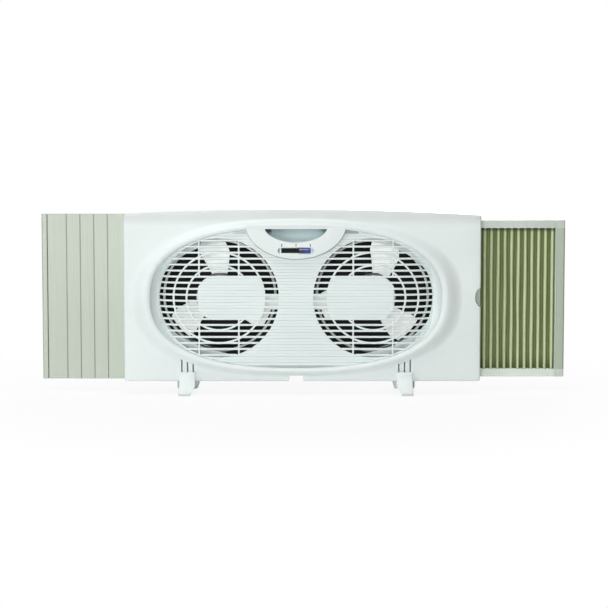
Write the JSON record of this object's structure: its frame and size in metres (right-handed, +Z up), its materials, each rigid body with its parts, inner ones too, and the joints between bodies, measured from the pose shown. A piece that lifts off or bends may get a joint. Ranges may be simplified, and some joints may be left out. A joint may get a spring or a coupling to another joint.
{
  "type": "window fan",
  "caption": "Low wide window fan: two impellers behind one oval slotted grille, slide switch, rigid side panel, pleated side expander and feet.",
  "frame": {"origin": "on the floor under the middle of the whole part, panel and expander included", "axes": "+X along the length toward the pleated expander, +Y from the front grille to the rear grille, +Z up"},
  "size_m": [0.845, 0.124, 0.2972],
  "materials": {
    "housing_white": "cool white moulded plastic, soft satin",
    "grille_white": "cool white moulded plastic, soft satin",
    "inner_white": "white moulded plastic",
    "dark_plastic": "black moulded plastic",
    "switch_black": "black moulded plastic",
    "knob_blue": "glossy blue plastic",
    "blade_white": "white moulded plastic",
    "foot_white": "cool white moulded plastic",
    "panel_beige": "beige-green plastic",
    "rail_grey": "pale grey-green plastic",
    "curtain_olive": "pleated olive vinyl",
    "core_steel": "stacked electrical steel",
    "bell_zinc": "die-cast alloy",
    "winding_copper": "enamelled copper wire",
    "bearing_bronze": "sintered bronze",
    "screw_steel": "zinc-plated steel",
    "nut_brass": "turned brass"
  },
  "bodies": {
    "housing": {"front_housing": "housing_white", "front_grille": "grille_white", "rear_housing": "housing_white", "orifice_plate": "inner_white", "rear_grille": "dark_plastic", "cord_gland": "dark_plastic", "switch_body": "switch_black", "pleated_curtain": "curtain_olive", "curtain_anchor": "rail_grey", "foot_left": "foot_white", "foot_right": "foot_white", "housing_screw_1": "screw_steel", "housing_screw_2": "screw_steel", "housing_screw_3": "screw_steel", "housing_screw_4": "screw_steel", "motor_bracket_left": "inner_white", "stator_core_left": "core_steel", "motor_windings_left": "winding_copper", "motor_front_bell_left": "bell_zinc", "motor_rear_bell_left": "bell_zinc", "front_bearing_left": "bearing_bronze", "rear_bearing_left": "bearing_bronze", "motor_bolt_1_left": "screw_steel", "motor_bolt_2_left": "screw_steel", "motor_bracket_right": "inner_white", "stator_core_right": "core_steel", "motor_windings_right": "winding_copper", "motor_front_bell_right": "bell_zinc", "motor_rear_bell_right": "bell_zinc", "front_bearing_right": "bearing_bronze", "rear_bearing_right": "bearing_bronze", "motor_bolt_1_right": "screw_steel", "motor_bolt_2_right": "screw_steel"},
    "fan_left": {"rotor_left": "core_steel", "motor_shaft_left": "screw_steel", "impeller_left": "blade_white", "impeller_nut_left": "nut_brass"},
    "fan_right": {"rotor_right": "core_steel", "motor_shaft_right": "screw_steel", "impeller_right": "blade_white", "impeller_nut_right": "nut_brass"},
    "switch": {"switch_knob": "knob_blue"},
    "expander": {"expander_end_rail": "rail_grey", "expander_top_rail": "rail_grey", "expander_bottom_rail": "rail_grey"},
    "side_panel": {"extension_panel": "panel_beige", "extension_end_cap": "panel_beige"}
  },
  "joints": [
    {"name": "fan_spin_left", "type": "hinge", "parent": "housing", "child": "fan_left", "pos_m": [-0.1354, 0.01, 0.156], "axis": [0, 1, 0], "continuous": true},
    {"name": "fan_spin_right", "type": "hinge", "parent": "housing", "child": "fan_right", "pos_m": [0.1116, 0.01, 0.156], "axis": [0, 1, 0], "continuous": true},
    {"name": "switch_slide", "type": "slide", "parent": "housing", "child": "switch", "axis": [1, 0, 0], "range_m": [-0.026, 0]},
    {"name": "expander_slide", "type": "slide", "parent": "housing", "child": "expander", "axis": [1, 0, 0], "range_m": [-0.1, 0], "deforming": ["pleated_curtain"]},
    {"name": "side_panel_pull", "type": "slide", "parent": "housing", "child": "side_panel", "axis": [1, 0, 0], "range_m": [-0.03, 0]}
  ]
}
